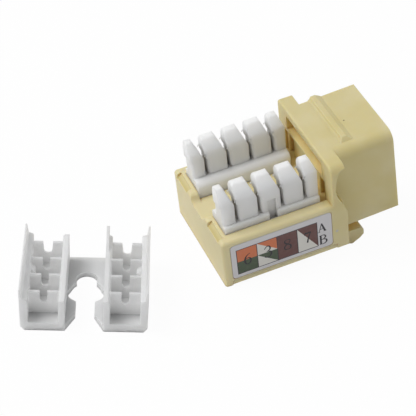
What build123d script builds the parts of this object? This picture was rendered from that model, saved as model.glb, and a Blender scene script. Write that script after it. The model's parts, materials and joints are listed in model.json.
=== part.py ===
from build123d import *
import os
from math import atan2, degrees, hypot

# Snap-in network jack with its wire cap laid beside it. Millimetres.
# Jack axes before it is laid down: X from the cable end to the port mouth, Y across, Z up.

# tray and deck
tray_length = 19.5
tray_half = 10.5
tray_top = 9.35
tray_corner = 0.5
tray_edge = 0.6
rear_wall = 1.5
rim = 1.95
deck_top = 8.0
deck_thick = 1.6
cover_thick = 0.85
cover_inset = 1.25
seam_gap = 0.05
notch_half = 3.75
pocket_in = 4.35
pocket_out = 9.1
pocket_low = 0.85
pocket_deep = 0.9

# collar and the window in its rear face
collar_thick = 2.55
collar_top = 16.95
collar_round = 0.35
scallop_depth = 1.85
scallop_drop = 0.85
scallop_lean = 0.55
window_half = 6.9
window_top = 15.7
window_deep = 2.0
bar_top = 12.95
bar_thick = 0.5
recess_half = 7.9
recess_deep = 0.35
panel_half = 5.15
panel_gap = 1.0

# port block, tipped up a little against the tray
port_z = 0.91
port_tip = 2.2
port_half = 7.35
port_high = 16.05
port_long = 10.7
port_back = 1.2

# socket for an eight-way modular plug
plug_half = 5.9
plug_low = 3.6
plug_high = 6.9
tab_wide_half = 3.1
tab_wide_high = 1.9
tab_slim_half = 2.0
tab_slim_high = 1.3
carrier_half = 6.15
carrier_low = 1.35
carrier_top = 3.2
carrier_fit = 0.05
mouth_wall = 1.1

# fixed ridge on the port
ridge_rear = 2.7
ridge_crest = 1.0
ridge_ramp = 0.95
ridge_high = 0.6
ridge_inset = 2.05

# latch arm, its round root standing for the bend there
latch_half = 7.25
latch_back = 1.15
latch_z = 0.22
latch_r = 0.65
latch_fit = 0.05
hook_low_x = 24.0
hook_low_z = -3.56
hook_nose = 2.2

# terminal blocks
row_inset = 4.17
rail_half = 3.28
rail_top = 10.9
ledge_top = 10.6
wire_pitch = 3.96
first_wire = 4.0
block_rear = 1.55
block_front = 18.2
block_fit = 0.05
tower_half = 1.65
tower_top = 17.8
shoulder = 15.7
plateau_half = 0.6
tower_soft = 0.55
slot_half = 0.3
slot_floor = 10.75
throat = 14.4
lip = 0.3
first_lean = 0.5
front_lean = 1.35
end_lean = 0.85
catch_half = 0.74
catch_deep = 0.45
catch_top = 12.9

# board and contacts
board_low = 2.1
board_thick = 1.2
board_inset = 0.35
blade_half = 1.05
blade_thick = 0.4
blade_top = 14.0
blade_slot = 0.18
blade_fit = 0.03
tail_half = 0.4
tail_low = 1.45
wire_r = 0.2
spring_pitch = 1.02
comb_slot = 0.62
comb_rear = 0.6
comb_front = 2.2
comb_top = 10.4
spring_inset = 1.6
spring_h = 3.58
spring_rise = 33.0
spring_long = 8.7
spring_fit = 0.05
lead_h = 2.95
lead_tail_front = 2.8
lead_tail_rear = 4.6

# label on the near side
label_x0 = 1.4
label_x1 = 19.15
label_z0 = 1.2
label_z1 = 8.3
label_r = 0.6
label_thick = 0.13
label_sunk = 0.02

# wire cap, measured from its closed back, with its own axes: a along, b across, c up
cap_near = -2.66
cap_far = 13.5
cap_half = 10.05
cap_wall_thick = 1.3
cap_mid_in = 3.0
cap_mid_out = 4.0
cap_floor = 1.6
cap_wall = 6.2
cap_lip = 8.25
cap_cross = 5.9
cap_cross_thick = 0.45
cap_notch = 3.63
cap_notch_half = 0.6
cap_bridge = 1.0
cap_x = -24.087
cap_y = -10.081
cap_yaw = 68.486

# places that follow from the sizes above
lay_angle = degrees(atan2(-hook_low_z, hook_low_x))
collar_front = tray_length + collar_thick
port_x = collar_front - 0.05
latch_x = collar_front - latch_back
inside_half = tray_half - rim
row_offset = tray_half - row_inset
rail_in = row_offset - rail_half
ledge_out = inside_half - block_fit
board_half = inside_half - board_inset
board_top = board_low + board_thick
below_deck = deck_top - deck_thick
socket_rear = comb_front + 0.2
spring_e = port_long - spring_inset
wires_x = [first_wire + k * wire_pitch for k in range(4)]
spring_y = [(k - 3.5) * spring_pitch for k in range(8)]
port_frame = Location((port_x, 0, port_z)) * Rot(0, -port_tip, 0)


def box(x0, x1, y0, y1, z0, z1):
    size = Box(x1 - x0, y1 - y0, z1 - z0)
    return Pos((x0 + x1) / 2, (y0 + y1) / 2, (z0 + z1) / 2) * size


def outline(points, rounds=None):
    # closed outline with a radius at each corner, nought for a sharp one
    face = Polygon(*points, align=None)
    rounds = rounds or [0] * len(points)
    for radius in sorted(set(rounds) - {0}):
        spots = [p for p, r in zip(points, rounds) if r == radius]
        corners = [v for v in face.vertices() if any(hypot(v.X - p[0], v.Y - p[1]) < 1e-4 for p in spots)]
        face = fillet(corners, radius)
    return face


def along_y(face, y0, y1):
    plane = Plane(origin=(0, y1, 0), x_dir=(1, 0, 0), z_dir=(0, -1, 0))
    return extrude(plane * face, y1 - y0, dir=(0, -1, 0))


def along_x(face, x0, x1):
    plane = Plane(origin=(x0, 0, 0), x_dir=(0, 1, 0), z_dir=(1, 0, 0))
    return extrude(plane * face, x1 - x0, dir=(1, 0, 0))


def along_z(face, z0, z1):
    return extrude(Plane.XY.offset(z0) * face, z1 - z0, dir=(0, 0, 1))


def rod_y(x, z, r, y0, y1):
    return Pos(x, (y0 + y1) / 2, z) * Rot(90, 0, 0) * Cylinder(r, y1 - y0)


def tray_body():
    # tub with small rounded rear corners, its long top edges softened
    body = box(0, collar_front - 0.6, -tray_half, tray_half, 0, tray_top)
    corners = [e for e in body.edges().filter_by(Axis.Z) if e.center().X < 0.1]
    body = fillet(corners, tray_corner)
    edges = [e for e in body.edges().filter_by(Axis.X) if e.center().Z > tray_top - 0.1]
    return fillet(edges, tray_edge)


def scallop_side():
    # side view of the finger scallop, a smooth bite below a rounded beak
    front = collar_front
    beak = front - scallop_lean
    tip = collar_top - scallop_drop
    deep = front - scallop_depth
    bite = Spline(
        (beak, tip),
        (deep + 0.3, tip - 1.55),
        (deep, tip - 3.4),
        (deep + 0.35, tip - 5.4),
        (front - 0.1, tip - 8.6),
        tangents=[(-1, -0.25), (0.35, -1)],
    )
    top = Polyline((front + 1, tip + 0.2), (beak, tip))
    back = Polyline((front - 0.1, tip - 8.6), (front + 1, tip - 10.5), (front + 1, tip + 0.2))
    return make_face(top + bite + back)


def collar_body():
    # plate across the jack with large soft shoulders, seen from the cable end
    h = tray_half
    face = outline([(-h, 0), (h, 0), (h, collar_top), (-h, collar_top)], [0, 0, 0.8, 1.6])
    plate = along_x(face, tray_length, collar_front)
    rear = [e for e in plate.edges() if abs(e.center().X - tray_length) < 0.01 and e.center().Z > 1]
    plate = fillet(rear, collar_round)
    for y0, y1 in ((-h - 1, -port_half), (port_half, h + 1)):
        plate -= along_y(scallop_side(), y0, y1)
    return plate


def window():
    # deep opening over a cross bar; below the bar a shallow recess with a gap at each end
    x = tray_length
    w, r = window_half, recess_half
    bar_low = bar_top - bar_thick
    upper = outline([(-w, bar_top), (w, bar_top), (w, window_top), (-w, window_top)], [0, 0, 0.5, 0.5])
    lower = outline([(-r, deck_top), (r, deck_top), (r, bar_low), (-r, bar_low)], [0, 0, 0.2, 0.2])
    cut = along_x(upper, x - 0.1, x + window_deep) + along_x(lower, x - 0.1, x + recess_deep)
    for y0, y1 in ((-window_half, -panel_half), (panel_half, window_half)):
        cut += box(x, x + panel_gap, y0, y1, deck_top, bar_low)
    return cut


def port_body():
    # solid port block in the tipped frame: soft near edge, crisp far edge
    w = port_half
    face = outline([(-w, 0), (w, 0), (w, port_high), (-w, port_high)], [0.25, 0.25, 0.3, 1.8])
    body = along_x(face, -port_back, port_long)
    # catch ridge: steep behind with a small foot, ramped in front, its near end sloped
    x0 = ridge_rear
    x1 = x0 + ridge_crest
    top = port_high + ridge_high
    foot = port_high - 0.5
    ridge = outline(
        [(x0 - 0.35, foot), (x1 + ridge_ramp, foot), (x1 + ridge_ramp, port_high), (x1, top), (x0 + 0.15, top),
         (x0, port_high + 0.25), (x0 - 0.35, port_high)],
        [0, 0, 0, 0.15, 0.15, 0.2, 0],
    )
    near = ridge_inset - port_half
    crest = along_y(ridge, near, port_half - 0.02)
    end = outline([(near - 1, port_high), (near, port_high), (near + 0.7, top + 0.01), (near - 1, top + 0.01)])
    return body + (crest - along_x(end, x0 - 1, x1 + 2))


def socket_hollow():
    # stepped mouth for a modular plug and its tab
    top = plug_low + plug_high
    slim = top + tab_wide_high
    out = port_long + 1
    hollow = box(socket_rear, out, -plug_half, plug_half, plug_low, top)
    hollow += box(socket_rear, out, -tab_wide_half, tab_wide_half, top - 0.1, slim)
    hollow += box(socket_rear, out, -tab_slim_half, tab_slim_half, slim - 0.1, slim + tab_slim_high)
    # pocket behind and under it for the contact carrier
    half = carrier_half + carrier_fit
    hollow += box(-3.2, port_long - mouth_wall, -half, half, carrier_low - carrier_fit, plug_low + 0.01)
    hollow += box(-0.1, socket_rear + 0.1, -half, half, plug_low, comb_top + 0.55)
    # lead-in chamfer round the mouth
    wide = plug_half + 0.35
    flare = outline([(-wide, plug_low), (wide, plug_low), (wide, top + 0.35), (-wide, top + 0.35)])
    return hollow + along_x(flare, port_long - 0.45, out)


def rear_edge_cuts():
    # scooped cable notch and two sloped pockets along the top of the rear wall
    w, top = notch_half, tray_top
    scoop = outline(
        [(-w, top + 1), (-w, top), (0.65 - w, top), (1.45 - w, deck_top), (w - 1.45, deck_top), (w - 0.65, top),
         (w, top), (w, top + 1)],
        [0, 0, 0.8, 1.0, 1.0, 0.8, 0, 0],
    )
    cuts = along_x(scoop, -1, rear_wall + 0.3)
    low = top - pocket_low
    slope = outline([(-1, low), (0.1, low), (pocket_deep, top - 0.25), (pocket_deep, top + 1), (-1, top + 1)],
                    [0, 0.3, 0.2, 0, 0])
    for y0, y1 in ((-pocket_out, -pocket_in), (pocket_in, pocket_out)):
        pocket = outline([(y0, low), (y1, low), (y1, top + 1), (y0, top + 1)], [0.4, 0.4, 0, 0])
        cuts += along_x(pocket, -1, pocket_deep) & along_y(slope, y0, y1)
    return cuts


def housing():
    # one moulding: tray, deck, rear wall, collar and port
    body = tray_body() + collar_body() + port_frame * port_body()
    body -= box(rear_wall, tray_length, -inside_half, inside_half, deck_top, tray_top + 1)
    body -= rear_edge_cuts()
    body -= window()
    # room under the deck for the board, with a shallower step over the latch root
    front = tray_length + 0.3
    body -= box(rear_wall, front, -inside_half, inside_half, -1, below_deck)
    body -= box(front - 0.1, latch_x + 0.2, -inside_half, inside_half, board_low + 0.1, below_deck)
    cover = tray_length + 0.4 + seam_gap
    body -= box(cover_inset, cover, -tray_half - 1, tray_half + 1, -1, cover_thick + 0.01)
    for side in (-1, 1):
        y0, y1 = sorted((side * (rail_in - block_fit), side * (ledge_out + block_fit)))
        body -= box(rear_wall, block_front + block_fit, y0, y1, below_deck - 1, deck_top + 0.5)
    body -= port_frame * socket_hollow()
    # round seat for the latch root and a shallow bed for the label
    half = latch_half + 0.1
    body -= rod_y(latch_x, latch_z, latch_r + latch_fit, -half, half)
    body -= box(latch_x + 0.1, collar_front + 0.5, -half, half, -1, 0.3)
    bed = RectangleRounded(label_x1 - label_x0 + 0.16, label_z1 - label_z0 + 0.16, label_r)
    bed = Pos((label_x0 + label_x1) / 2, (label_z0 + label_z1) / 2) * bed
    return body - along_y(bed, -tray_half - 1, -tray_half + label_thick + label_sunk)


def base_cover():
    # flat closing plate with four rests under the board and a soft lower edge
    plate = box(cover_inset + seam_gap, tray_length + 0.4, -tray_half, tray_half, 0, cover_thick - 0.03)
    low = [e for e in plate.edges().filter_by(Axis.X) if e.center().Z < 0.1]
    plate = fillet(low, 0.3)
    rest_y = board_half - 0.8
    for x in (rear_wall + 1.7, tray_length - 1.5):
        for y in (-rest_y, rest_y):
            plate += box(x - 0.7, x + 0.7, y - 0.5, y + 0.5, cover_thick - 0.1, board_low)
    for x in (rear_wall + 6, tray_length - 6.5):
        plate += box(x - 0.4, x + 0.4, -rest_y, rest_y, cover_thick - 0.1, cover_thick + 0.35)
    return plate


def latch_arm():
    # sprung arm that drops from its root, runs under the port and ends in the snap hook
    x, z = latch_x, latch_z
    low_x, low_z = hook_low_x, hook_low_z
    nose = low_x + hook_nose
    points = [
        (x - 0.5, z - 0.3), (x + 0.45, z - 0.45), (x + 1.3, z - 0.85), (nose - 0.35, low_z + 2.94),
        (nose, low_z + 2.41), (nose, low_z + 1.41), (nose - 0.8, low_z + 0.69), (low_x, low_z),
        (low_x - 0.85, low_z + 0.36), (low_x - 0.7, low_z + 1.71), (x + 1.3, low_z + 1.71), (x - 0.35, z - 0.9),
    ]
    rounds = [0, 0.3, 0.6, 0.25, 0.2, 0.2, 0.3, 0, 0.15, 0.4, 0.6, 0]
    arm = along_y(outline(points, rounds), -latch_half, latch_half)
    return arm + rod_y(x, z, latch_r, -latch_half, latch_half)


def tower(x0, x1, side, first, last):
    # one divider: side outline with a small lip over the slot behind and a swept-back front,
    # crossed with its domed end outline
    low = ledge_top - 2
    back = first_lean if first else lip
    sweep_z, sweep_x = (shoulder - 0.1, end_lean) if last else (throat, front_lean)
    points = [(x0, low), (x1, low), (x1, sweep_z), (x1 - sweep_x, tower_top), (x0 - back, tower_top)]
    rounds = [0, 0, 0.8, 0.45, 0.6]
    if not first:
        points += [(x0 - back, throat + 0.6), (x0, throat - 0.6)]
        rounds += [2.5, 2.5]
    c, t, p = side * row_offset, tower_half, plateau_half
    dome = outline(
        [(c - t, low), (c + t, low), (c + t, shoulder), (c + p, tower_top), (c - p, tower_top), (c - t, shoulder)],
        [0, 0, 1.3, 0.5, 0.5, 1.3],
    )
    body = along_y(outline(points, rounds), c - 3, c + 3) & along_x(dome, x0 - 2, x1 + 1)
    # its two rear corners are well rounded, below the throat and above it
    joint = throat - 0.2
    softened = []
    for rear, z0, z1 in ((x0, low - 1, joint), (x0 - back / 2 if first else x0 - back, joint, tower_top + 1)):
        plan = outline([(rear, c - t), (x1 + 1, c - t), (x1 + 1, c + t), (rear, c + t)], [tower_soft, 0, 0, tower_soft])
        softened.append(body & along_z(plan, z0, z1))
    return softened[0] + softened[1]


def idc_block(side):
    # base with an inner rail and an outer ledge, five dividers, four wire slots
    c = side * row_offset
    low = board_top + 0.03
    y_in, y_out, y_mid = side * rail_in, side * ledge_out, side * (ledge_out - 0.9)
    wall = c - side * (tower_half - 0.3)
    face = outline(
        [(y_in, low), (y_out, low), (y_out, ledge_top), (y_mid, ledge_top), (y_mid, slot_floor), (wall, slot_floor),
         (wall, rail_top), (y_in, rail_top)],
        [0, 0, 0.3, 0, 0, 0, 0, 0.9],
    )
    body = along_x(face, block_rear, block_front)
    edges = [block_rear]
    for x in wires_x:
        edges += [x - slot_half, x + slot_half]
    edges += [block_front]
    for k in range(5):
        body += tower(edges[2 * k], edges[2 * k + 1], side, k == 0, k == 4)
    # catch groove in the middle divider for the cap's nub
    middle = (wires_x[1] + wires_x[2]) / 2 + 0.15
    y0, y1 = sorted((side * (row_offset + tower_half - catch_deep), side * (ledge_out + 1)))
    body -= box(middle - catch_half, middle + catch_half, y0, y1, tray_top - 0.6, catch_top)
    # pockets for the forked blades, open from below
    m, t = blade_half + blade_fit, blade_thick / 2 + blade_fit
    for x in wires_x:
        body -= box(x - m, x + m, c - t, c + t, low - 1, blade_top + 0.1)
    return body


def idc_contact(x, side):
    # forked blade: two tines with a V mouth, shoulders on the board, tail through it
    m, s, t = blade_half, blade_slot, tail_half
    seat, root, top = board_top + 0.05, slot_floor + 0.3, blade_top
    right = [(t, tail_low), (t, seat), (m, seat), (m, top), (s + 0.25, top), (s, top - 0.6), (s, root)]
    points = [(x + a, b) for a, b in right] + [(x - a, b) for a, b in reversed(right)]
    rounds = [0, 0, 0, 0.25, 0, 0, 0]
    face = outline(points, rounds + rounds[::-1])
    c = side * row_offset
    return along_y(face, c - blade_thick / 2, c + blade_thick / 2)


def lead_tail(k):
    # the leads go down to the board in two staggered rows, this far behind the port
    return lead_tail_front if k in (0, 2, 5, 7) else lead_tail_rear


def circuit_board():
    # board with slots for the blade tails and holes for the socket leads
    board = box(rear_wall + 0.5, tray_length + 0.2, -board_half, board_half, board_low, board_top)
    m, t = tail_half + 0.05, blade_thick / 2 + 0.05
    for side in (-1, 1):
        c = side * row_offset
        for x in wires_x:
            board -= box(x - m, x + m, c - t, c + t, 0, board_top + 1)
    for k, y in enumerate(spring_y):
        x = (port_frame * Pos(-lead_tail(k), y, lead_h - 1)).position.X
        board -= box(x - 0.33, x + 0.33, y - 0.28, y + 0.28, 0, board_top + 1)
    return board


def contact_carrier():
    # insert under the plug with lead grooves and a comb that guides the spring tips
    half = carrier_half
    front = port_long - mouth_wall - 2 * carrier_fit
    body = box(-1.3, front, -half, half, carrier_low, carrier_top)
    body += box(0, comb_front, -half, half, carrier_top - 0.1, comb_top + 0.5)
    groove = wire_r + 0.03
    for y in spring_y:
        body -= box(comb_rear, comb_front + 1, y - comb_slot / 2, y + comb_slot / 2, carrier_top - 0.3, comb_top)
        body -= box(-2, port_long, y - groove, y + groove, lead_h - groove, carrier_top + 0.25)
    return port_frame * body


def contact_lead(k):
    # stamped strip: board tail, bend, run in the carrier groove, upturned seat under the spring's bend
    y = spring_y[k]
    r = wire_r
    tail = -lead_tail(k)
    seat = spring_h - 0.02
    points = [(tail - r, 0.95), (tail + r, 0.95), (tail + r, lead_h - r), (spring_e + r, lead_h - r),
              (spring_e + r, seat), (spring_e - r, seat), (spring_e - r, lead_h + r), (tail - r, lead_h + r)]
    strip = along_y(outline(points), y - r, y + r)
    return port_frame * (strip - rod_y(spring_e, spring_h, r + spring_fit, y - 1, y + 1))


def contact_spring(k):
    # square strip that rises from the front bend back into the comb
    y = spring_y[k]
    arm = Pos(0, 0, spring_long / 2) * Box(2 * wire_r, 2 * wire_r, spring_long)
    arm = Pos(spring_e, y, spring_h) * Rot(0, spring_rise - 90, 0) * arm
    return port_frame * (arm + rod_y(spring_e, spring_h, wire_r, y - wire_r, y + wire_r))


def wiring_label():
    # thin sticker in its shallow bed
    face = RectangleRounded(label_x1 - label_x0, label_z1 - label_z0, label_r)
    face = Pos((label_x0 + label_x1) / 2, (label_z0 + label_z1) / 2) * face
    outer = -tray_half + label_sunk
    return along_y(face, outer, outer + label_thick)


def cap_trough(s, tall_inner):
    # one channel, on side s: outer wall with a thin lip, inner wall, thick floor, chamfered back edges
    wall_in = cap_half - cap_wall_thick
    out, top = cap_half, cap_wall
    points = [
        (out - 0.7, 0), (out - 0.1, 0.8), (out, top), (out, cap_lip), (out - 0.25, cap_lip), (out - 0.5, top + 0.25),
        (wall_in, top), (wall_in, cap_floor), (cap_mid_out, cap_floor), (cap_mid_out, top - 0.35),
        (cap_mid_out - 0.3, top), (cap_mid_in, top), (cap_mid_in, 0),
    ]
    rounds = [0.3, 0.3, 0, 0.1, 0.1, 0.2, 0.3, 0.2, 0.2, 0, 0, 0, 0]
    trough = along_x(outline([(s * b, c) for b, c in points], rounds), cap_near, cap_far)
    if tall_inner:
        # this channel's inner wall climbs to a thin tip at the far end
        tip = outline([(cap_far - 4.4, cap_wall - 0.1), (cap_far, cap_wall - 0.1), (cap_far, cap_lip - 0.1)])
        y0, y1 = sorted((s * cap_mid_in, s * (cap_mid_in + 0.5)))
        trough += along_y(tip, y0, y1)
    # thin cross walls that push the wires home, each notched for its blade
    b = s * (cap_mid_out + wall_in) / 2
    r = cap_notch_half
    for k in range(4):
        a = k * wire_pitch - 0.25
        wall = box(a, a + cap_cross_thick, b - 2.5, b + 2.5, cap_floor - 0.1, cap_cross)
        wide = r + (0.25 if k == 3 else 0)
        high = cap_cross + 0.5
        notch = outline([(b - r, cap_notch), (b + r, cap_notch), (b + wide, high), (b - wide, high)],
                        [r - 0.02, r - 0.02, 0, 0])
        trough += wall - along_x(notch, a - 1, a + 1)
    # quarter-round nub inside the outer wall that snaps into the block's groove
    root, face = s * (wall_in + 0.2), s * (wall_in - 0.75)
    nub = outline([(root, 2.4), (face, 3.0), (face, 5.1), (root, 6.0)], [0, 0.2, 0.5, 0])
    middle = 1.5 * wire_pitch
    return trough + along_x(nub, middle - catch_half + 0.05, middle + catch_half - 0.05)


def keyhole():
    # cable keyhole from the near mouth through two lugs and wings to a round end, in a and b
    near = cap_near - 0.1
    neck, wing, root = 1.52, 2.92, 1.6
    left = Polyline((-3.1, near), (-neck, 0.3), (-neck, 3.15), (-2.35, 3.75))
    left += ThreePointArc((-2.35, 3.75), (-wing, 4.9), (-2.5, 6.35))
    left += ThreePointArc((-2.5, 6.35), (-2.05, 7.35), (-root, 7.9))
    crown = ThreePointArc((-root, 7.9), (0, 10.3), (root, 7.9))
    right = ThreePointArc((root, 7.9), (2.05, 7.35), (2.5, 6.35))
    right += ThreePointArc((2.5, 6.35), (wing, 4.9), (2.35, 3.75))
    right += Polyline((2.35, 3.75), (neck, 3.15), (neck, 0.3), (3.1, near), (-3.1, near))
    return Rot(0, 0, -90) * mirror(make_face(left + crown + right), Plane.YZ)


def wire_cap():
    # two channels joined by a thin bridge with a keyhole that grips the cable
    m = cap_mid_in + 0.3
    bridge = box(cap_near, cap_far + 0.45, -m, m, 0, cap_bridge) - along_z(keyhole(), -1, cap_bridge + 1)
    cap = cap_trough(-1, False) + cap_trough(1, True) + bridge
    return Location((cap_x, cap_y, 0), (0, 0, cap_yaw)) * mirror(cap, Plane.XZ)


def jack_pieces():
    pieces = {
        "housing": housing(),
        "base_cover": base_cover(),
        "latch_arm": latch_arm(),
        "circuit_board": circuit_board(),
        "idc_block_near": idc_block(-1),
        "idc_block_far": idc_block(1),
        "contact_carrier": contact_carrier(),
        "wiring_label": wiring_label(),
    }
    for k, x in enumerate(wires_x):
        pieces[f"idc_contact_{k + 1}"] = idc_contact(x, -1)
        pieces[f"idc_contact_{k + 5}"] = idc_contact(x, 1)
    for k in range(8):
        pieces[f"contact_lead_{k + 1}"] = contact_lead(k)
        pieces[f"contact_spring_{k + 1}"] = contact_spring(k)
    return pieces


# lay the jack on its rear bottom edge and its hook, set the cap beside it, centre the pair
tipped = Rot(0, -lay_angle, 0)
laid = {name: tipped * piece for name, piece in jack_pieces().items()}
laid["wire_cap"] = wire_cap()
rooms = [piece.bounding_box() for piece in laid.values()]
x0, x1 = min(r.min.X for r in rooms), max(r.max.X for r in rooms)
y0, y1 = min(r.min.Y for r in rooms), max(r.max.Y for r in rooms)
shift = Pos(-(x0 + x1) / 2, -(y0 + y1) / 2, -min(r.min.Z for r in rooms))
os.makedirs("parts", exist_ok=True)
for name, piece in laid.items():
    export_step(shift * piece, f"parts/{name}.step")
print("laid at", round(lay_angle, 3), "degrees, shift", [round(v, 4) for v in shift.position])
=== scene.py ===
import json
from math import atan2, cos, radians, sin

import bpy
from mathutils import Matrix, Vector


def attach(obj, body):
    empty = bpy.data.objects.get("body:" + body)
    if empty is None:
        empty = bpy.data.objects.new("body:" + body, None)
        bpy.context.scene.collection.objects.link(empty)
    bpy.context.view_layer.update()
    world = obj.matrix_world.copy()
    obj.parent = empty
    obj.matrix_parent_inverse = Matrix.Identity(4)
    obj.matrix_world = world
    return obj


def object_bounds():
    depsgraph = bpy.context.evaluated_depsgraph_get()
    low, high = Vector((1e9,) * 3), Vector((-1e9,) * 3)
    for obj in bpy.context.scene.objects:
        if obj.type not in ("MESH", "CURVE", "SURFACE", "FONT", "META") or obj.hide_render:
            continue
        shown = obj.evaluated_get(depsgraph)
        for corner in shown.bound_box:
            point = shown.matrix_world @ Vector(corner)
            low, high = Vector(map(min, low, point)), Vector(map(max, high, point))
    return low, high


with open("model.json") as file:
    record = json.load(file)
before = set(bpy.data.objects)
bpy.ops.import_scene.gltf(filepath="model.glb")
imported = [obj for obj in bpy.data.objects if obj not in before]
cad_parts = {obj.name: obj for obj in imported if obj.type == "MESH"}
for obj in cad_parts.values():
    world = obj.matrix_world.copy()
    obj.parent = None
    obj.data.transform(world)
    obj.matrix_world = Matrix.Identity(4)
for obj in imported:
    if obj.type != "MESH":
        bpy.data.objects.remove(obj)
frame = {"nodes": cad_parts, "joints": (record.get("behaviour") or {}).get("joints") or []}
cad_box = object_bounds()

# The jack as it stands in the photograph: it lies tipped on its rear bottom edge and its latch hook.
# Its own axes run from the cable end to the port mouth, across, and up from its base. The latch's
# bend, a known point of those axes, says where they are on the floor.
MM = 0.001
HOOK_LOW = Vector((24.0, 0, -3.56)) * MM
LATCH_BEND = Vector((20.9, 0, 0.22)) * MM
lay_angle = atan2(-HOOK_LOW.z, HOOK_LOW.x)
tipped = Matrix.Rotation(-lay_angle, 4, "Y")
latch_flex = next(j for j in frame["joints"] if j["name"] == "latch_flex")
jack_place = Matrix.Translation(Vector(latch_flex["pos_m"]) - tipped @ LATCH_BEND) @ tipped

# The camera looks down on the cable end from the label side, through a long lens. Its place is
# counted from the jack's rear bottom edge.
EYE = Vector((-88.505, -199.728, 184.440)) * MM
EYE_TURN, EYE_DROP, EYE_ROLL = -24.06, 38.83, 3.055
LENS, SENSOR, NEAREST = 148.68, 36, 10 * MM
camera_data = bpy.data.cameras.new("camera")
camera_data.lens = LENS
camera_data.sensor_width = SENSOR
camera_data.clip_start = NEAREST
camera = bpy.data.objects.new("camera", camera_data)
aim = Matrix.Rotation(radians(EYE_TURN), 4, "Z") @ Matrix.Rotation(radians(90 - EYE_DROP), 4, "X")
roll = Matrix.Rotation(radians(EYE_ROLL), 4, "Z")
camera.matrix_world = Matrix.Translation(jack_place.translation + EYE) @ aim @ roll
bpy.context.scene.collection.objects.link(camera)
bpy.context.scene.camera = camera
bpy.context.scene.view_settings.view_transform = "Standard"


# Housing, latch arm and base cover: one batch of ivory plastic, injection moulded with a fine satin
# surface. The tray and collar are one moulding, the latch flexes at its root, and the cover closes
# the underside.
class Wire:
    """A shader value that can be reckoned with."""

    def __init__(self, paint, socket):
        self.paint, self.socket = paint, socket

    def _sum(self, kind, a, b=None):
        values = {0: a} if b is None else {0: a, 1: b}
        return self.paint.node("Math", {"operation": kind}, values)

    def __add__(self, b):
        return self._sum("ADD", self, b)

    def __sub__(self, b):
        return self._sum("SUBTRACT", self, b)

    def __rsub__(self, a):
        return self._sum("SUBTRACT", a, self)

    def __mul__(self, b):
        return self._sum("MULTIPLY", self, b)

    def __truediv__(self, b):
        return self._sum("DIVIDE", self, b)

    def __gt__(self, b):
        return self._sum("GREATER_THAN", self, b)

    def __lt__(self, b):
        return self._sum("LESS_THAN", self, b)

    def __abs__(self):
        return self._sum("ABSOLUTE", self)

    __radd__, __rmul__ = __add__, __mul__

    def part(self, kind):
        return self._sum(kind, self)

    def ramp(self, low, high):
        # nought below low, one above high, smooth between
        values = {"Value": self, "From Min": low, "From Max": high}
        return self.paint.node("MapRange", {"interpolation_type": "SMOOTHSTEP"}, values)

    def between(self, low, high):
        # low where the value is nought, high where it is one
        return low + (high - low) * self


class Paint:
    """A material under construction, with its Principled shader."""

    # rays that a soft edge or a crevice sends out, and how far a normal turns, from flat to a full painted
    # edge highlight
    FEELERS = 6
    EDGE_TURN = (0.01, 0.25)

    def __init__(self, name, **constants):
        self.material = bpy.data.materials.new(name)
        self.material.use_nodes = True
        self.tree = self.material.node_tree
        self.shader = next(n for n in self.tree.nodes if n.type == "BSDF_PRINCIPLED")
        for socket, value in constants.items():
            self.shader.inputs[socket.replace("_", " ")].default_value = value
        self.place = self.node("TexCoord", out="Object")

    def node(self, kind, settings=None, values=None, out=0):
        made = self.tree.nodes.new("ShaderNode" + kind)
        for key, value in (settings or {}).items():
            setattr(made, key, value)
        for key, value in (values or {}).items():
            if isinstance(value, Wire):
                self.tree.links.new(value.socket, made.inputs[key])
            else:
                made.inputs[key].default_value = value
        return Wire(self, made.outputs[out])

    def feed(self, **wires):
        for socket, wire in wires.items():
            self.tree.links.new(wire.socket, self.shader.inputs[socket.replace("_", " ")])

    def grain(self, size_mm, detail, seed=0.0, stretch=(1, 1, 1)):
        # cloudy noise from about 0 to 1 with lumps of the given size
        values = {"Vector": self.place, "Scale": stretch, "Location": (seed, seed, seed)}
        spot = self.node("Mapping", None, values)
        return self.node("TexNoise", None, {"Vector": spot, "Scale": 1 / (size_mm * MM), "Detail": detail})

    def blend(self, factor, a, b):
        # colour a where factor is nought, b where it is one; 6 and 7 are the node's colour inputs
        return self.node("Mix", {"data_type": "RGBA"}, {"Factor": factor, 6: a, 7: b}, out=2)

    def soft_edges(self, radius_mm, wear_and_sheen=1.0):
        # rounded normal for moulded edges, and how far it turns from the flat one, as the share of a
        # painted edge highlight
        soft = self.node("Bevel", {"samples": self.FEELERS}, {"Radius": radius_mm * MM})
        flat = self.node("NewGeometry", out="Normal")
        facing = self.node("VectorMath", {"operation": "DOT_PRODUCT"}, {0: soft, 1: flat}, out="Value")
        return soft, (1 - facing).ramp(*self.EDGE_TURN) * wear_and_sheen

    def crevice(self, reach_mm, rise, share=1.0, alone=False):
        # nought in the open, up to share in a corner or a narrow gap, of the piece alone if so asked
        settings = {"samples": self.FEELERS, "only_local": alone}
        depth = 1 - self.node("AmbientOcclusion", settings, {"Distance": reach_mm * MM}, out="AO")
        return depth.ramp(*rise) * share

    def bump(self, height, depth_mm, normal):
        values = {"Height": height, "Strength": 1.0, "Distance": depth_mm * MM, "Normal": normal}
        return self.node("Bump", None, values)

    def jack_axes(self):
        # millimetres along the jack's own axes
        back = jack_place.inverted()
        values = {"Vector": self.place, "Location": back.translation, "Rotation": back.to_euler()}
        spot = self.node("Mapping", None, values)
        spot = self.node("VectorMath", {"operation": "SCALE"}, {0: spot, "Scale": 1 / MM})
        return [self.node("SeparateXYZ", None, {0: spot}, out=axis) for axis in "XYZ"]


def dress(material, *nodes):
    for name in nodes:
        for slot in frame["nodes"][name].material_slots:
            slot.material = material


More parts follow.
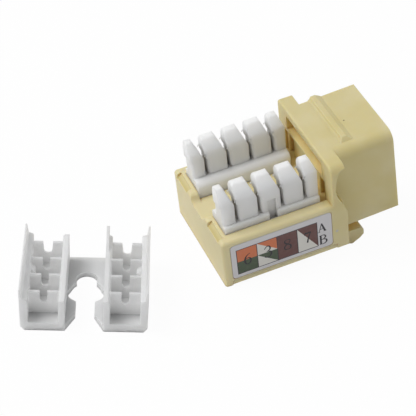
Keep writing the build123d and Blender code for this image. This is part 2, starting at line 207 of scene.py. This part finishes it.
IVORY = (0.645, 0.560, 0.265, 1)
IVORY_PALE = (0.700, 0.625, 0.370, 1)
IVORY_TRAY_REFLECTION = (0.750, 0.665, 0.400, 1)
IVORY_EDGE_HIGHLIGHT = (0.770, 0.730, 0.530, 1)
IVORY_SHADE = (0.560, 0.350, 0.100, 1)
IVORY_GLOW = (0.900, 0.670, 0.260, 1)
IVORY_SCOOP_SHADE = (0.540, 0.440, 0.140, 1)
CLOUDY = (0.3, 0.75)
ivory = Paint(
    "ivory_plastic", IOR=1.45, Subsurface_Weight=0.35, Subsurface_Scale=0.0012,
    Subsurface_Radius=(1.0, 0.75, 0.35),
)
soft, edge = ivory.soft_edges(radius_mm=0.16, wear_and_sheen=0.5)
body_colour = ivory.blend(ivory.grain(size_mm=9, detail=3).ramp(*CLOUDY), IVORY, IVORY_PALE)

# the tray is painted paler than the collar and the port, a painted reflection of the white room in its rear
# faces and rim, and all edges are painted paler than the faces, a painted highlight
TRAY_END, TRAY_FADE, TRAY_SHARE = 18.5, (-1, 1), 0.8
x, y, z = ivory.jack_axes()
body_colour = ivory.blend((TRAY_END - x).ramp(*TRAY_FADE) * TRAY_SHARE, body_colour, IVORY_TRAY_REFLECTION)
body_colour = ivory.blend(edge, body_colour, IVORY_EDGE_HIGHLIGHT)

# painted light and shade: a painted warm glow in hollows, for light that has gone through the plastic, and
# painted darker shade in tight corners and along the line where two parts meet
glow = ivory.crevice(reach_mm=5, rise=(0.45, 0.85), share=0.8)
meeting_shade = ivory.crevice(reach_mm=0.6, rise=(0.15, 0.5), share=0.6)
# painted shade in the two scoops on top of the rear wall, darker towards the rear face; the corner shade is
# left out there
SCOOP_LOW, SCOOP_ENDS, SCOOP_SHARE = 8.52, (4.4, 9.05), 0.6
SCOOP_DEEP, SCOOP_FADE_END = 0.9, 1.3
scoop = (z > SCOOP_LOW) * (x < SCOOP_DEEP) * (abs(y) > SCOOP_ENDS[0]) * (abs(y) < SCOOP_ENDS[1])
body_colour = ivory.blend(glow, body_colour, IVORY_GLOW)
body_colour = ivory.blend(meeting_shade * (1 - scoop), body_colour, IVORY_SHADE)
body_colour = ivory.blend(scoop * (SCOOP_FADE_END - x) * SCOOP_SHARE, body_colour, IVORY_SCOOP_SHADE)

# a dark speck in the moulding on top of the port, and a painted bluish highlight on the near side by the
# label
SPECK_AND_GLINT_SHARE = 0.8
for spot_x, spot_y, spot_z, size, tone in (
    (26.67, -0.38, 17.2, 0.22, (0.08, 0.05, 0.03, 1)),
    (20.0, -10.5, 3.77, 0.30, (0.50, 0.52, 0.62, 1)),
):
    away = abs(x - spot_x) + abs(y - spot_y) + abs(z - spot_z)
    body_colour = ivory.blend((away < size) * SPECK_AND_GLINT_SHARE, body_colour, tone)

# round ejector marks on the far flank and under the base cover, each a shallow ring
MARK_RADIUS, MARK_LINE, MARK_DEPTH = 1.3, 0.07, 0.05
FAR_FLANK, UNDERSIDE = 10.4, 0.15
FLANK_MARKS = ((4.4, 4.7), (15.2, 4.7))
COVER_MARKS = ((3.2, -7.4), (3.2, 7.4), (15.8, -7.4), (15.8, 7.4))
marks = 0.0
for a, b, on_face, middles in ((x, z, y > FAR_FLANK, FLANK_MARKS), (x, y, z < UNDERSIDE, COVER_MARKS)):
    for middle_a, middle_b in middles:
        off_a, off_b = a - middle_a, b - middle_b
        away = (off_a * off_a + off_b * off_b).part("SQRT")
        marks = (abs(away - MARK_RADIUS) < MARK_LINE) * on_face + marks
pores = ivory.bump(ivory.grain(size_mm=0.12, detail=2), depth_mm=0.004, normal=soft)
ivory.feed(
    Base_Color=body_colour,
    Roughness=ivory.grain(size_mm=2.5, detail=4, seed=3.0).between(0.38, 0.54),
    Normal=ivory.bump(marks, MARK_DEPTH, pores),
)
dress(ivory.material, "housing", "base_cover", "latch_arm")

# Terminal blocks: two rows of five milky white dividers, moulded in a tougher plastic and pressed
# through the deck. Light sinks a little into them; to stand in for that, their tips and edges are painted
# paler as painted light and a painted highlight, and their slots darker as painted shade.
MILK = (0.820, 0.828, 0.840, 1)
MILK_DEEP = (0.790, 0.795, 0.800, 1)
MILK_HIGHLIGHT = (0.930, 0.940, 0.955, 1)
MILK_SHADE = (0.420, 0.400, 0.360, 1)
TIP_RISE, TIP_SHARE = (14.5, 17.2), 0.9
milk = Paint(
    "white_plastic", IOR=1.49, Subsurface_Weight=1.0, Subsurface_Scale=0.0025,
    Subsurface_Radius=(1.0, 1.0, 1.0),
)
soft, edge = milk.soft_edges(radius_mm=0.12, wear_and_sheen=0.7)
slots = milk.crevice(reach_mm=1.2, rise=(0.3, 0.75), share=0.7, alone=True)
x, y, z = milk.jack_axes()
milk_colour = milk.blend(milk.grain(size_mm=5, detail=3, seed=1.0).ramp(*CLOUDY), MILK_DEEP, MILK)
# painted light: paler towards the tips, paler on the edges as a painted highlight, and darker in the slots
# as painted shade
milk_colour = milk.blend(z.ramp(*TIP_RISE) * TIP_SHARE, milk_colour, MILK_HIGHLIGHT)
milk_colour = milk.blend(edge, milk_colour, MILK_HIGHLIGHT)
milk_colour = milk.blend(slots, milk_colour, MILK_SHADE)
milk.feed(
    Base_Color=milk_colour,
    Roughness=milk.grain(size_mm=1.5, detail=4, seed=5.0).between(0.30, 0.44),
    Normal=milk.bump(milk.grain(size_mm=0.15, detail=2, seed=2.0), depth_mm=0.003, normal=soft),
)
dress(milk.material, "idc_block_near", "idc_block_far")

# Wire nibs: a short slanting ridge on each rounded corner of a divider, beside the mouth of its slot,
# moulded with it. A wire snaps past the pair and can't lift out again.
FIRST_SLOT, SLOT_PITCH, SLOTS, ROW_OFFSET = 4.0, 3.96, 4, 6.33
NIB_THICK, NIB_LONG, NIB_SLANT = 0.11, 3.0, radians(50)
NIB_SIDE, NIB_OUT, NIB_HIGH = 0.05, 1.50, 14.95
NIB_SEGMENTS, NIB_RINGS = 12, 8


class Recipe:
    """A Geometry Nodes tree with named sizes, run once and turned into a plain mesh."""

    def __init__(self, name, **sizes):
        self.name = name
        self.tree = bpy.data.node_groups.new(name, "GeometryNodeTree")
        self.sizes = sizes
        self.keys = {}
        for size, value in sizes.items():
            kind = "NodeSocketInt" if isinstance(value, int) else "NodeSocketFloat"
            socket = self.tree.interface.new_socket(size, in_out="INPUT", socket_type=kind)
            self.keys[size] = socket.identifier
        self.tree.interface.new_socket("Geometry", in_out="OUTPUT", socket_type="NodeSocketGeometry")
        self.given = self.tree.nodes.new("NodeGroupInput")

    def size(self, name):
        return self.given.outputs[name]

    def node(self, kind, **values):
        made = self.tree.nodes.new(kind)
        for key, value in values.items():
            if isinstance(value, bpy.types.NodeSocket):
                self.tree.links.new(value, made.inputs[key])
            else:
                made.inputs[key].default_value = value
        return made.outputs[0]

    def vector(self, x=0.0, y=0.0, z=0.0):
        return self.node("ShaderNodeCombineXYZ", X=x, Y=y, Z=z)

    def repeat(self, piece, count, step):
        # the same piece again and again, one step apart
        line = self.node("GeometryNodeMeshLine", Count=count, Offset=step)
        copies = self.node("GeometryNodeInstanceOnPoints", Points=line, Instance=piece)
        return self.node("GeometryNodeRealizeInstances", Geometry=copies)

    def mesh(self, shape, paint, place):
        done = self.node("GeometryNodeSetMaterial", Geometry=shape, Material=paint.material)
        self.tree.links.new(done, self.tree.nodes.new("NodeGroupOutput").inputs[0])
        maker = bpy.data.objects.new(self.name, bpy.data.meshes.new("blank"))
        bpy.context.scene.collection.objects.link(maker)
        modifier = maker.modifiers.new("made", "NODES")
        modifier.node_group = self.tree
        for size, value in self.sizes.items():
            modifier[self.keys[size]] = value
        seen = maker.evaluated_get(bpy.context.evaluated_depsgraph_get())
        mesh = bpy.data.meshes.new_from_object(seen)
        maker.modifiers.remove(modifier)
        mesh.transform(place)
        mesh.name = self.name
        maker.data = mesh
        return maker


rows = Recipe(
    "wire_nibs", Slots=SLOTS, Pitch=SLOT_PITCH * MM, Row_gap=2 * ROW_OFFSET * MM,
    Nib_gap=2 * NIB_OUT * MM, Nib_thick=NIB_THICK * MM, Nib_long=NIB_LONG, Nib_slant=NIB_SLANT,
)
nib = rows.node(
    "GeometryNodeMeshUVSphere", Segments=NIB_SEGMENTS, Rings=NIB_RINGS, Radius=rows.size("Nib_thick"),
)
nib = rows.node(
    "GeometryNodeTransform", Geometry=nib, Rotation=rows.vector(y=rows.size("Nib_slant")),
    Scale=rows.vector(1.0, 1.0, rows.size("Nib_long")),
)
nib = rows.repeat(nib, 2, rows.vector(y=rows.size("Nib_gap")))
nib = rows.repeat(nib, rows.size("Slots"), rows.vector(x=rows.size("Pitch")))
nib = rows.repeat(nib, 2, rows.vector(y=rows.size("Row_gap")))
first_nib = Vector((FIRST_SLOT + NIB_SIDE, -ROW_OFFSET - NIB_OUT, NIB_HIGH)) * MM
nibs = rows.mesh(nib, milk, jack_place @ Matrix.Translation(first_nib))
for face in nibs.data.polygons:
    face.use_smooth = True
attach(nibs, "jack")

# Wire cap: the same kind of plastic in thinner walls, so that light goes deep into it. Its cells are
# painted paler where they are deep, a painted glow so that they are never dark, and its edges carry a
# painted highlight. It was pressed over the dividers and has been taken off.
CAP_MILK = (0.750, 0.755, 0.765, 1)
CAP_DEEP = (0.720, 0.725, 0.725, 1)
CAP_EDGE_HIGHLIGHT = (0.780, 0.788, 0.800, 1)
CAP_CELL_GLOW = (0.970, 0.970, 0.965, 1)
CAP_SHADE = (0.480, 0.483, 0.486, 1)
cap_milk = Paint(
    "cap_plastic", IOR=1.45, Subsurface_Weight=0.7, Subsurface_Scale=0.003,
    Subsurface_Radius=(1.0, 1.0, 1.0),
)
soft, edge = cap_milk.soft_edges(radius_mm=0.14, wear_and_sheen=0.6)
# painted glow deep in the cells, and a painted highlight on the edges
cells = cap_milk.crevice(reach_mm=6, rise=(0.30, 0.65))
cap_colour = cap_milk.blend(cap_milk.grain(size_mm=4, detail=3, seed=2.0).ramp(*CLOUDY), CAP_DEEP, CAP_MILK)
cap_colour = cap_milk.blend(edge, cap_colour, CAP_EDGE_HIGHLIGHT)
cap_colour = cap_milk.blend(cells, cap_colour, CAP_CELL_GLOW)

# painted shade: the floor of each channel is painted darkest against its first cross wall and paler towards
# the open end, and the walls of the cells are painted a little darker towards the floor
CAP_YAW = radians(68.486)
CAP_FLOOR, FLOOR_LEVEL, FLOOR_FACING = 1.6, 0.2, 0.7
CAP_LIP, FIRST_WALL, FLOOR_SHADE = 0.2, 2.45, (0.45, 0.90)
WALL_DIM, WALL_FADE, WALL_SHADE = 4.2, (0, 2.4), 0.5
cap_mesh = frame["nodes"]["wire_cap"]
cap_along = Vector((cos(CAP_YAW), sin(CAP_YAW), 0))
open_end = min((cap_mesh.matrix_world @ vertex.co).dot(cap_along) for vertex in cap_mesh.data.vertices)
along = {0: cap_milk.place, 1: cap_along}
inward = (cap_milk.node("VectorMath", {"operation": "DOT_PRODUCT"}, along, out="Value") - open_end) / MM
height = cap_milk.node("SeparateXYZ", None, {0: cap_milk.place}, out="Z") / MM
facing = cap_milk.node("SeparateXYZ", None, {0: cap_milk.node("TexCoord", out="Normal")}, out="Z")
on_floor = (abs(height - CAP_FLOOR) < FLOOR_LEVEL) * (facing > FLOOR_FACING)
at_first_wall = (inward < FIRST_WALL) * inward.ramp(CAP_LIP, FIRST_WALL)
low_wall = (WALL_DIM - height).ramp(*WALL_FADE) * (1 - on_floor)
in_cell = cap_milk.crevice(reach_mm=4, rise=(0.25, 0.45), share=WALL_SHADE, alone=True)
cap_colour = cap_milk.blend(on_floor * at_first_wall.between(*FLOOR_SHADE), cap_colour, CAP_SHADE)
cap_colour = cap_milk.blend(low_wall * in_cell, cap_colour, CAP_SHADE)
cap_milk.feed(
    Base_Color=cap_colour,
    Roughness=cap_milk.grain(size_mm=1.2, detail=4, seed=6.0).between(0.32, 0.46),
    Normal=cap_milk.bump(cap_milk.grain(size_mm=0.15, detail=2, seed=4.0), depth_mm=0.003, normal=soft),
)
dress(cap_milk.material, "wire_cap")

# Contact blades: stamped phosphor bronze with a bright tin finish, one in each wire slot. The rolled
# sheet's streaks run upright.
TIN = (0.62, 0.58, 0.52, 1)
TIN_DULL = (0.38, 0.33, 0.27, 1)
tin = Paint("blade_metal", Metallic=1.0)
streak = tin.grain(size_mm=0.25, detail=3, stretch=(1, 1, 0.2))
tin.feed(Base_Color=tin.blend(streak, TIN_DULL, TIN), Roughness=streak.between(0.28, 0.48))
dress(tin.material, *[f"idc_contact_{k}" for k in range(1, 9)])

# Label: a white film sticker in a shallow bed on the near flank, printed with the wire colours of
# four slots, each cell outlined. Sizes are counted along the jack's axes, and u and v in cells.
PRINT_X, PRINT_Z, CELLS = (2.35, 16.53), (1.94, 7.10), 4
LINE, MARGIN_U, MARGIN_V = 0.13, 0.02, 0.013
MOTTLE_RISE, MOTTLE_SHARE = (0.35, 0.8), 0.03
PAPER = (0.66, 0.65, 0.67, 1)
CELL_WHITE = (0.70, 0.69, 0.65, 1)
ORANGE = (0.62, 0.175, 0.070, 1)
GREEN = (0.060, 0.090, 0.050, 1)
BROWN = (0.135, 0.055, 0.050, 1)
INK = (0.035, 0.03, 0.04, 1)
film = Paint("label_film", IOR=1.48)
x, y, z = film.jack_axes()
cell_wide = (PRINT_X[1] - PRINT_X[0]) / CELLS
cell_high = PRINT_Z[1] - PRINT_Z[0]
u = (x - PRINT_X[0]) / cell_wide
v = (z - PRINT_Z[0]) / cell_high
across = u.part("FRACT")
upper = v > 0.5
half_up = (v * 2).part("FRACT")
first = u < 1
second = (u > 1) * (u < 2)
third = (u > 2) * (u < 3)
fourth = u > 3
half_cut = (across + half_up) > 1
full_cut = (across + v) > 1
orange = upper * (first + second * half_cut)
green = (1 - upper) * (first + second * half_cut)
brown = third + fourth * full_cut
printed = film.blend(orange, CELL_WHITE, ORANGE)
printed = film.blend(green, printed, GREEN)
printed = film.blend(brown, printed, BROWN)
gap_x = (0.5 - abs(across - 0.5)) * cell_wide
gap_z = (0.5 - abs(v - 0.5)) * cell_high
rule = (gap_x < LINE / 2) + (gap_z < LINE / 2)
printed = film.blend(rule > 0.5, printed, INK)
inside = (u > -MARGIN_U) * (u < CELLS + MARGIN_U) * (v > -MARGIN_V) * (v < 1 + MARGIN_V)
mottle = film.grain(size_mm=0.6, detail=4)
face_colour = film.blend(inside, PAPER, printed)
face_colour = film.blend(mottle.ramp(*MOTTLE_RISE) * MOTTLE_SHARE, face_colour, PAPER)
soft = film.soft_edges(radius_mm=0.05)[0]
film.feed(
    Base_Color=face_colour,
    Roughness=mottle.between(0.34, 0.49),
    Normal=film.bump(mottle, depth_mm=0.004, normal=soft),
)
dress(film.material, "wiring_label")

# Figures and letters: black ink on the film, one number for each slot and the names of the two wiring
# orders. Each is drawn as pen strokes, thick and thin: a point is its place across and up, in figure
# heights, and the pen's width there.
FIGURE_HIGH, INK_FACE, INK_RISE = 2.25, -10.483, 0.05
PEN_RADIUS, PEN_SIDES, PEN_STEPS = 0.048, 2, 5
INK_DEEP = (0.020, 0.018, 0.024, 1)
INK_WORN = (0.050, 0.046, 0.055, 1)
STROKES = {
    "6": [
        [(0.52, 0.98, 0.3), (0.30, 0.88, 0.6), (0.11, 0.62, 1.1), (0.06, 0.30, 1.3), (0.17, 0.00, 0.8),
         (0.40, -0.02, 0.7), (0.56, 0.20, 1.2), (0.52, 0.50, 1.0), (0.32, 0.62, 0.5), (0.12, 0.48, 0.4)],
    ],
    "3": [
        [(0.06, 0.78, 0.5), (0.16, 0.98, 0.6), (0.42, 1.02, 0.8), (0.52, 0.76, 1.1), (0.38, 0.56, 0.6),
         (0.22, 0.53, 0.4)],
        [(0.22, 0.53, 0.4), (0.44, 0.54, 0.7), (0.60, 0.30, 1.3), (0.44, 0.00, 0.9), (0.20, -0.03, 0.5),
         (0.04, 0.10, 0.9)],
    ],
    "8": [
        [(0.30, 1.00, 0.4), (0.06, 0.98, 0.8), (0.08, 0.66, 1.2), (0.34, 0.52, 1.1), (0.60, 0.32, 1.2),
         (0.54, 0.00, 0.9), (0.30, -0.02, 0.5), (0.02, 0.02, 0.9), (0.04, 0.38, 1.1), (0.32, 0.52, 0.5),
         (0.54, 0.72, 0.6), (0.52, 1.00, 0.8), (0.30, 1.00, 0.4)],
    ],
    "7": [
        [(0.05, 0.74, 0.3), (0.09, 0.90, 0.8), (0.12, 0.93, 1.1)],
        [(0.08, 0.93, 1.2), (0.56, 0.93, 1.2)],
        [(0.55, 0.94, 0.7), (0.40, 0.62, 0.8), (0.30, 0.30, 1.0), (0.25, 0.00, 1.2)],
    ],
    "A": [
        [(0.10, 0.03, 0.5), (0.40, 1.00, 0.6)],
        [(0.38, 1.00, 1.0), (0.70, 0.03, 1.4)],
        [(0.20, 0.34, 0.5), (0.60, 0.34, 0.5)],
        [(0.00, 0.02, 0.4), (0.22, 0.02, 0.4)],
        [(0.56, 0.02, 0.4), (0.84, 0.02, 0.4)],
    ],
    "B": [
        [(0.18, 0.02, 1.4), (0.18, 0.98, 1.4)],
        [(0.04, 0.98, 0.4), (0.30, 0.98, 0.4)],
        [(0.04, 0.02, 0.4), (0.30, 0.02, 0.4)],
        [(0.20, 0.97, 0.5), (0.48, 1.02, 0.6), (0.66, 0.76, 1.4), (0.46, 0.52, 0.6), (0.20, 0.52, 0.5)],
        [(0.20, 0.52, 0.5), (0.56, 0.54, 0.6), (0.76, 0.26, 1.5), (0.52, -0.02, 0.6), (0.20, 0.03, 0.5)],
    ],
}
# sign, its middle along and up the jack, its size and how bold it is
PRINTED = (
    ("6", 4.12, 4.6, 1.0, 1.2),
    ("3", 7.72, 4.6, 1.04, 1.2),
    ("8", 11.21, 4.65, 0.92, 1.15),
    ("7", 14.76, 4.6, 1.0, 1.2),
    ("A", 17.4, 5.65, 0.8, 1.45),
    ("B", 17.45, 3.0, 0.88, 1.25),
)
ink = Paint("print_ink", IOR=1.45)
wear_and_sheen = ink.grain(size_mm=0.25, detail=3)
ink.feed(Base_Color=ink.blend(wear_and_sheen, INK_DEEP, INK_WORN), Roughness=wear_and_sheen.between(0.40, 0.55))
pen = bpy.data.curves.new("pen", "CURVE")
pen.dimensions = "3D"
pen.bevel_depth = PEN_RADIUS
pen.bevel_resolution = PEN_SIDES
pen.resolution_u = PEN_STEPS
pen.use_fill_caps = True
for sign, middle_x, middle_z, scale, bold in PRINTED:
    strokes = STROKES[sign]
    high = FIGURE_HIGH * scale
    middle = max(point[0] for stroke in strokes for point in stroke) / 2
    for stroke in strokes:
        line = pen.splines.new("NURBS")
        line.points.add(len(stroke) - 1)
        for point, (a, b, wide) in zip(line.points, stroke):
            point.co = (middle_x + (a - middle) * high, middle_z + (b - 0.5) * high, 0, 1)
            point.radius = wide * high * bold
        line.order_u = min(3, len(stroke))
        line.use_endpoint_u = True
print_maker = bpy.data.objects.new("label_print", pen)
bpy.context.scene.collection.objects.link(print_maker)
inked = print_maker.evaluated_get(bpy.context.evaluated_depsgraph_get())
print_mesh = bpy.data.meshes.new_from_object(inked)
bpy.data.objects.remove(print_maker)
# the strokes are pressed nearly flat and laid on the label's face
for point in print_mesh.vertices:
    a, b, deep = point.co
    point.co = jack_place @ (Vector((a, INK_FACE + INK_RISE * deep, b)) * MM)
print_mesh.flip_normals()
print_mesh.materials.clear()
print_mesh.materials.append(ink.material)
label_print = bpy.data.objects.new("label_print", print_mesh)
bpy.context.scene.collection.objects.link(label_print)
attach(label_print, "jack")

# Socket springs and their leads: thin phosphor bronze wires with gold plating, bent over the comb. The
# plating is uneven, a little duller in patches.
GOLD = (0.83, 0.60, 0.22, 1)
GOLD_WORN = (0.70, 0.48, 0.20, 1)
gold = Paint("spring_metal", Metallic=1.0)
rub = gold.grain(size_mm=0.5, detail=3)
gold.feed(Base_Color=gold.blend(rub, GOLD_WORN, GOLD), Roughness=rub.between(0.16, 0.34))
dress(gold.material, *[f"contact_{kind}_{k}" for kind in ("lead", "spring") for k in range(1, 9)])

# Comb: the dark plastic insert at the back of the port, which holds the leads and keeps the springs
# apart.
COMB_DARK = (0.030, 0.030, 0.034, 1)
COMB_PALE = (0.050, 0.050, 0.054, 1)
comb = Paint("carrier_plastic")
rub = comb.grain(size_mm=0.8, detail=3)
comb.feed(Base_Color=comb.blend(rub, COMB_DARK, COMB_PALE), Roughness=rub.between(0.42, 0.62))
dress(comb.material, "contact_carrier")

# Circuit board: a small green laminate under the deck, which joins the blades to the leads. It is
# hidden once the jack is together.
BOARD_DEEP = (0.012, 0.095, 0.035, 1)
BOARD_PALE = (0.020, 0.140, 0.050, 1)
board = Paint("board_laminate")
weave = board.grain(size_mm=0.5, detail=2)
board.feed(Base_Color=board.blend(weave, BOARD_DEEP, BOARD_PALE), Roughness=weave.between(0.3, 0.5))
dress(board.material, "circuit_board")

# The studio: a white sweep that takes the jack's faint shadow, a broad soft key from above the cable
# end, a weak fill from the port's side, and an even white room. What the camera sees of the sweep and
# the room is white, and what they throw on the jack is dimmer.
WHITE = (1, 1, 1, 1)
SWEEP_WHITE, SWEEP_SEEN, SWEEP_HALF = (0.88, 0.88, 0.88, 1), 0.96, 3.0
KEY = ("key", (-0.35, 0.10, 0.55), 0.35, 2.7)
FILL = ("fill", (0.50, 0.08, 0.32), 0.45, 0.6)
ROOM_LIGHT = 0.38
ground = cad_box[0][2]
sweep_mesh = bpy.data.meshes.new("floor")
corners = [(a * SWEEP_HALF, b * SWEEP_HALF, ground) for a, b in ((-1, -1), (1, -1), (1, 1), (-1, 1))]
sweep_mesh.from_pydata(corners, [], [(0, 1, 2, 3)])
floor = bpy.data.objects.new("floor", sweep_mesh)
bpy.context.scene.collection.objects.link(floor)
white = Paint("floor_white", Roughness=1.0, Specular_IOR_Level=0.0, Base_Color=SWEEP_WHITE)
shine = white.node("Emission", None, {"Color": WHITE, "Strength": 1.0})
seen = white.node("LightPath", out="Is Camera Ray")
lit = Wire(white, white.shader.outputs[0])
mixed = white.node("MixShader", None, {0: seen * SWEEP_SEEN, 1: lit, 2: shine})
surface = next(n for n in white.tree.nodes if n.type == "OUTPUT_MATERIAL").inputs["Surface"]
white.tree.links.new(mixed.socket, surface)
sweep_mesh.materials.append(white.material)

for name, spot, size, watts in (KEY, FILL):
    lamp = bpy.data.lights.new(name, "AREA")
    lamp.energy = watts
    lamp.size = size
    light = bpy.data.objects.new(name, lamp)
    light.location = spot
    light.rotation_euler = Vector(spot).to_track_quat("Z", "Y").to_euler()
    bpy.context.scene.collection.objects.link(light)

room = bpy.data.worlds.new("room")
bpy.context.scene.world = room
room.use_nodes = True
sky = room.node_tree
thrown = sky.nodes["Background"]
thrown.inputs["Color"].default_value = WHITE
thrown.inputs["Strength"].default_value = ROOM_LIGHT
shown = sky.nodes.new("ShaderNodeBackground")
shown.inputs["Color"].default_value = WHITE
shown.inputs["Strength"].default_value = 1.0
path = sky.nodes.new("ShaderNodeLightPath")
pick = sky.nodes.new("ShaderNodeMixShader")
sky.links.new(path.outputs["Is Camera Ray"], pick.inputs[0])
sky.links.new(thrown.outputs[0], pick.inputs[1])
sky.links.new(shown.outputs[0], pick.inputs[2])
sky.links.new(pick.outputs[0], sky.nodes["World Output"].inputs["Surface"])
